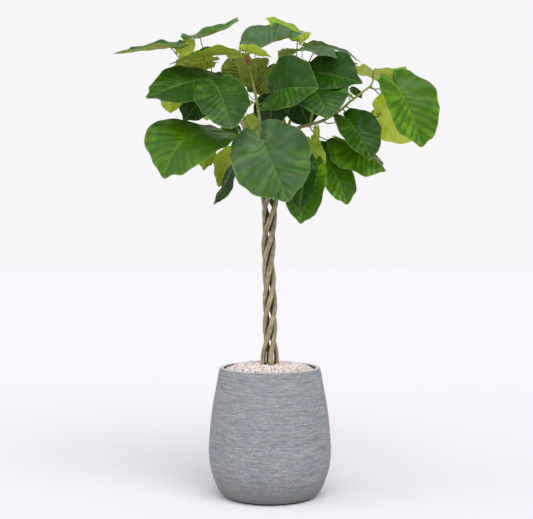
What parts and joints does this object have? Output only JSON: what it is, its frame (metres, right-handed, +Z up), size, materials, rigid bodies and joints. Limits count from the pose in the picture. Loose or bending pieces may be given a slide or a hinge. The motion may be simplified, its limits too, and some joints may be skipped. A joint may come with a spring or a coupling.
{
  "type": "potted umbrella fig",
  "caption": "Indoor umbrella fig tree with a braided trunk and a crown of large heart-shaped leaves, in a tapered grey planter topped with white pebbles",
  "frame": {"origin": "centre of the planter's foot, on the surface it stands on", "axes": "+Z up along the trunk, -Y towards the plant's front"},
  "size_m": [1.1266, 0.8137, 1.7204],
  "materials": {
    "planter": "matte",
    "soil": "matte",
    "pebbles": "satin",
    "bark": "matte",
    "bud": "matte",
    "leaf_old": "satin",
    "leaf_mid": "satin",
    "leaf_young": "satin"
  },
  "bodies": {
    "root": {"planter": "planter", "soil": "soil", "pebble_layer": "pebbles", "stem_rear": "bark", "stem_left": "bark", "stem_middle": "bark", "stem_right": "bark", "bud_sheath": "bud", "leaf_left_01": "leaf_old", "leaf_left_02": "leaf_mid", "leaf_left_03": "leaf_young", "leaf_left_04": "leaf_mid", "leaf_left_05": "leaf_mid", "leaf_left_06": "leaf_old", "leaf_left_07": "leaf_young", "leaf_left_08": "leaf_old", "leaf_left_09": "leaf_mid", "leaf_left_10": "leaf_old", "leaf_left_11": "leaf_mid", "leaf_left_12": "leaf_young", "leaf_left_13": "leaf_old", "leaf_front_01": "leaf_old", "leaf_front_02": "leaf_old", "leaf_front_03": "leaf_mid", "leaf_front_04": "leaf_mid", "leaf_front_05": "leaf_mid", "leaf_front_06": "leaf_young", "leaf_front_07": "leaf_old", "leaf_front_08": "leaf_old", "leaf_front_09": "leaf_old", "leaf_front_10": "leaf_old", "leaf_front_11": "leaf_old", "leaf_top_01": "leaf_old", "leaf_top_02": "leaf_young", "leaf_top_03": "leaf_old", "leaf_top_04": "leaf_old", "leaf_top_05": "leaf_young", "leaf_top_06": "leaf_young", "leaf_top_07": "leaf_mid", "leaf_right_01": "leaf_old", "leaf_right_02": "leaf_old", "leaf_right_03": "leaf_mid", "leaf_right_04": "leaf_old", "leaf_right_05": "leaf_mid", "leaf_right_06": "leaf_young", "leaf_right_07": "leaf_young", "leaf_right_08": "leaf_young", "leaf_right_09": "leaf_young", "leaf_right_10": "leaf_old", "leaf_back_01": "leaf_old", "leaf_back_02": "leaf_old", "leaf_back_03": "leaf_old", "leaf_back_04": "leaf_mid", "leaf_back_05": "leaf_mid", "leaf_back_06": "leaf_old", "leaf_back_07": "leaf_old", "leaf_back_08": "leaf_mid", "leaf_back_09": "leaf_old", "leaf_back_10": "leaf_old", "leaf_back_11": "leaf_mid"}
  },
  "joints": []
}
